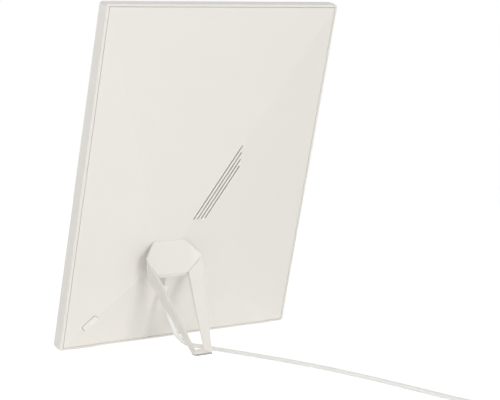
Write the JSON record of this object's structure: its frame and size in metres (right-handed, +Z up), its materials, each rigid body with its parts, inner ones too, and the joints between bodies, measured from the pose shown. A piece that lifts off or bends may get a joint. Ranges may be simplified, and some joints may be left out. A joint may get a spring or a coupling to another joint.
{
  "type": "light therapy lamp",
  "caption": "Slim leaning light panel with a faceted back, a two-legged folding stand, a rear power button and a low-voltage cord with its mains adapter.",
  "frame": {"origin": "middle of the footprint of the lamp without its cord, on the surface that it stands on", "axes": "+X across the panel to its right as its user faces the lit side, +Y to the rear, +Z up; the lit side faces -Y"},
  "size_m": [0.3286, 0.4129, 0.2928],
  "materials": {
    "housing": "fine matt texture",
    "button": "fine matt texture",
    "diffuser": "satin opal",
    "guide": "clear acrylic",
    "reflector": "matt white film",
    "sheet_metal": "mill",
    "strip": "white solder mask",
    "board": "green solder mask",
    "component": "moulded",
    "ferrite": "dull",
    "lead": "flat cable",
    "mesh": "woven mesh",
    "silicone": "translucent",
    "pad": "matt",
    "steel": "plated",
    "washer": "acetal",
    "plug": "moulded",
    "cord": "soft vinyl",
    "tie": "vinyl",
    "adapter": "fine spark texture",
    "prong": "nickel plated"
  },
  "bodies": {
    "panel": {"adapter_body": "adapter", "adapter_face": "adapter", "adapter_prong_1": "prong", "adapter_prong_2": "prong", "adapter_relief": "adapter", "back_plate": "sheet_metal", "board_capacitor": "component", "board_choke": "ferrite", "board_controller": "component", "button_dome": "silicone", "coil_tie": "tie", "cord_coil": "cord", "cord_tail": "cord", "dc_jack": "component", "dc_plug": "plug", "diffuser_panel": "diffuser", "driver_board": "board", "edge_pad_left": "pad", "edge_pad_right": "pad", "friction_washer_left": "washer", "friction_washer_right": "washer", "front_frame": "housing", "hinge_pin_left": "steel", "hinge_pin_right": "steel", "hub_bracket": "housing", "hub_cap": "housing", "hub_screw_1": "steel", "hub_screw_2": "steel", "hub_screw_3": "steel", "hub_screw_4": "steel", "led_lead_left": "lead", "led_lead_right": "lead", "led_strip_left": "strip", "led_strip_right": "strip", "light_guide": "guide", "plug_relief": "plug", "power_cord": "cord", "rear_cover": "housing", "reflector_sheet": "reflector", "switch_board": "board", "switch_lead": "lead", "tact_switch": "component", "vent_baffle": "mesh"},
    "stand": {"leg_left": "housing", "leg_right": "housing", "foot_bar": "housing", "foot_pad": "pad"},
    "button": {"power_button": "button"}
  },
  "joints": [
    {"name": "stand_fold", "type": "hinge", "parent": "panel", "child": "stand", "pos_m": [0.03435, -0.00188, 0.07622], "axis": [-1, 0, 0], "range_deg": [0, 40], "deforming": ["power_cord"]},
    {"name": "button_press", "type": "slide", "parent": "panel", "child": "button", "axis": [0, -0.9676, 0.2524], "range_m": [0, 0.001], "stiffness_N_per_m": 900, "springref_m": -0.0003, "deforming": ["button_dome"]}
  ]
}
